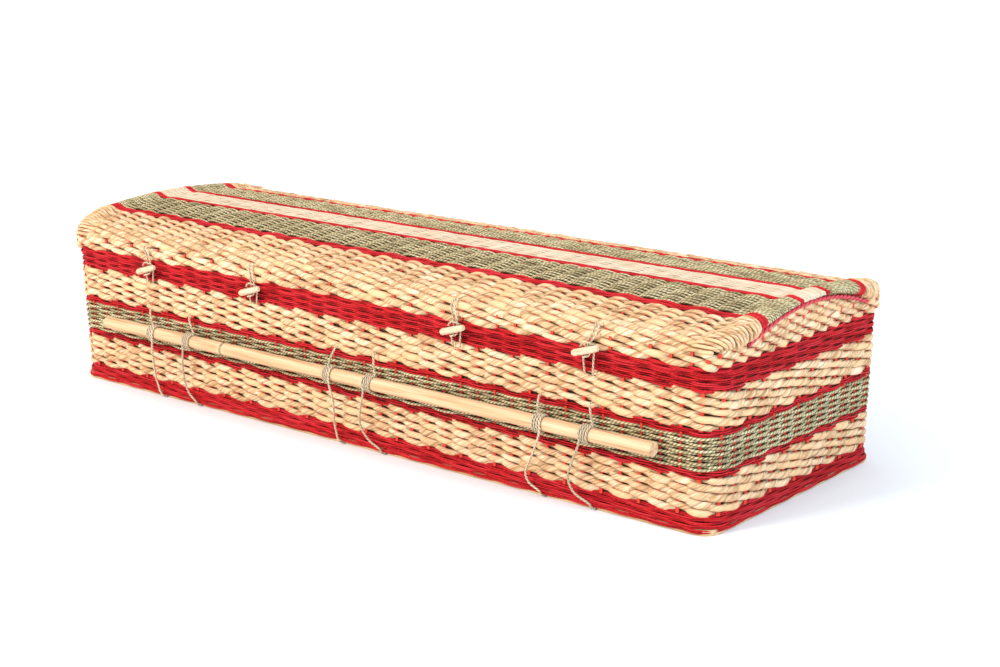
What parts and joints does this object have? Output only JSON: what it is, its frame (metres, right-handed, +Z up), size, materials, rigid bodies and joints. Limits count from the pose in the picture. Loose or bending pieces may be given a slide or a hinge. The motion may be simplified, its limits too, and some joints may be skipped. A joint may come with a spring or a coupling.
{
  "type": "banana leaf coffin",
  "caption": "Woven banana leaf coffin with a cambered lift-off lid, toggle ties and two roped carrying poles.",
  "frame": {"origin": "centre of the underside of the plywood board, on the floor", "axes": "+X along the coffin, -Y towards the long side that the picture shows, +Z up"},
  "size_m": [1.987, 0.748, 0.4385],
  "materials": {
    "leaf": "twisted dried banana leaf, satin",
    "red_cord": "dyed twisted paper cord",
    "seagrass": "two-ply seagrass cord",
    "cream_fibre": "fine pale flat fibre, satin",
    "plywood": "sanded plywood",
    "cane": "peeled cane, satin",
    "rope": "two-ply natural rope",
    "peg_wood": "whittled pale wood"
  },
  "bodies": {
    "root": {"band_leaf_lower": "leaf", "band_leaf_upper": "leaf", "lid_leaf_skirt": "leaf", "lid_leaf_front": "leaf", "lid_leaf_back": "leaf", "band_red_plinth": "red_cord", "band_red_lower": "red_cord", "band_red_upper": "red_cord", "band_red_rim": "red_cord", "lid_red_rim": "red_cord", "lid_red_inner_front": "red_cord", "lid_red_inner_back": "red_cord", "lid_red_outer_front": "red_cord", "lid_red_outer_back": "red_cord", "lid_end_cord_right": "red_cord", "lid_end_cord_left": "red_cord", "band_seagrass": "seagrass", "lid_seagrass_front": "seagrass", "lid_seagrass_back": "seagrass", "lid_cream": "cream_fibre", "base_board": "plywood", "pole_front": "cane", "pole_back": "cane", "rope_front_1_left": "rope", "rope_front_1_right": "rope", "rope_front_2_left": "rope", "rope_front_2_right": "rope", "rope_front_3_left": "rope", "rope_front_3_right": "rope", "rope_back_1_left": "rope", "rope_back_1_right": "rope", "rope_back_2_left": "rope", "rope_back_2_right": "rope", "rope_back_3_left": "rope", "rope_back_3_right": "rope", "lid_cord_front_1": "rope", "lid_cord_front_2": "rope", "lid_cord_front_3": "rope", "lid_cord_front_4": "rope", "lid_cord_back_1": "rope", "lid_cord_back_2": "rope", "lid_cord_back_3": "rope", "lid_cord_back_4": "rope", "base_loop_front_1": "rope", "base_loop_front_2": "rope", "base_loop_front_3": "rope", "base_loop_front_4": "rope", "base_loop_back_1": "rope", "base_loop_back_2": "rope", "base_loop_back_3": "rope", "base_loop_back_4": "rope", "toggle_front_1": "peg_wood", "toggle_front_2": "peg_wood", "toggle_front_3": "peg_wood", "toggle_front_4": "peg_wood", "toggle_back_1": "peg_wood", "toggle_back_2": "peg_wood", "toggle_back_3": "peg_wood", "toggle_back_4": "peg_wood"}
  },
  "joints": []
}
